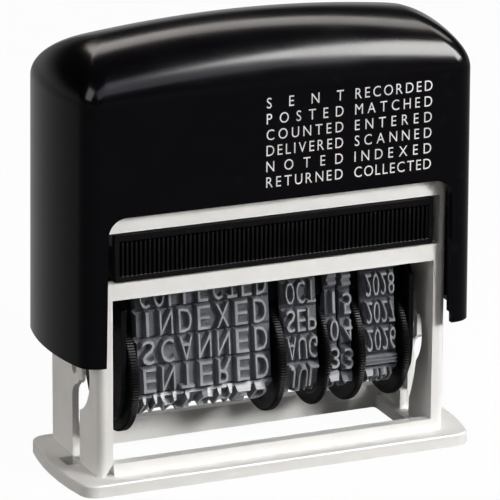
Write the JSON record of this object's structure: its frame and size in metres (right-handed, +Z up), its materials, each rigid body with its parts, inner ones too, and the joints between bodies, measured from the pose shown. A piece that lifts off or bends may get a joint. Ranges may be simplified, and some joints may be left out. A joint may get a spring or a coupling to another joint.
{
  "type": "phrase date stamp",
  "caption": "Self-inking hand stamp: a domed cap presses down, the print mechanism with its phrase and date bands flips over from the ink pad and prints through the foot.",
  "frame": {"origin": "middle of the foot's underside, on the line that the stamp prints", "axes": "+X along the printed line, to the right as seen from the front; +Y towards the back; +Z up, from the paper to the cap"},
  "size_m": [0.0698, 0.0264, 0.0724],
  "materials": {
    "white_plastic": "moulded white plastic, slightly warm, soft sheen",
    "gloss_black": "polished black plastic",
    "satin_black": "satin black plastic",
    "band_rubber": "dusty blue-grey rubber with raised type",
    "spring_steel": "bright steel",
    "inked_felt": "black inked felt"
  },
  "bodies": {
    "frame": {"base_foot": "white_plastic", "frame": "white_plastic", "return_spring": "spring_steel"},
    "cap": {"cap": "gloss_black", "yoke": "satin_black"},
    "carrier": {"end_plate_right": "satin_black", "end_plate_left": "satin_black", "print_bridge": "satin_black", "wheel_axle": "spring_steel", "band_phrase": "band_rubber", "band_month": "band_rubber", "band_day_tens": "band_rubber", "band_day_units": "band_rubber", "band_year": "band_rubber"},
    "phrase_wheel": {"wheel_phrase": "satin_black"},
    "month_wheel": {"wheel_month": "satin_black"},
    "day_tens_wheel": {"wheel_day_tens": "satin_black"},
    "day_units_wheel": {"wheel_day_units": "satin_black"},
    "year_wheel": {"wheel_year": "satin_black"},
    "pad": {"ink_cartridge": "satin_black", "ink_felt": "inked_felt"}
  },
  "joints": [
    {"name": "cap_press", "type": "slide", "parent": "frame", "child": "cap", "axis": [0, 0, -1], "range_m": [0, 0.017], "stiffness_N_per_m": 300, "springref_m": -0.01, "deforming": ["return_spring"]},
    {"name": "carrier_flip", "type": "hinge", "parent": "cap", "child": "carrier", "pos_m": [0, 0, 0.02455], "axis": [1, 0, 0], "range_deg": [0, 180]},
    {"name": "phrase_wheel_turn", "type": "hinge", "parent": "carrier", "child": "phrase_wheel", "pos_m": [0, 0, 0.0158], "axis": [1, 0, 0], "continuous": true},
    {"name": "month_wheel_turn", "type": "hinge", "parent": "carrier", "child": "month_wheel", "pos_m": [0, 0, 0.0158], "axis": [1, 0, 0], "continuous": true},
    {"name": "day_tens_wheel_turn", "type": "hinge", "parent": "carrier", "child": "day_tens_wheel", "pos_m": [0, 0, 0.0158], "axis": [1, 0, 0], "continuous": true},
    {"name": "day_units_wheel_turn", "type": "hinge", "parent": "carrier", "child": "day_units_wheel", "pos_m": [0, 0, 0.0158], "axis": [1, 0, 0], "continuous": true},
    {"name": "year_wheel_turn", "type": "hinge", "parent": "carrier", "child": "year_wheel", "pos_m": [0, 0, 0.0158], "axis": [1, 0, 0], "continuous": true},
    {"name": "pad_slide", "type": "slide", "parent": "frame", "child": "pad", "axis": [0, -1, 0], "range_m": [-0.024, 0]}
  ],
  "couplings": [
    {"joint": "carrier_flip", "follows": "cap_press", "rad_per_m": 184.8}
  ]
}
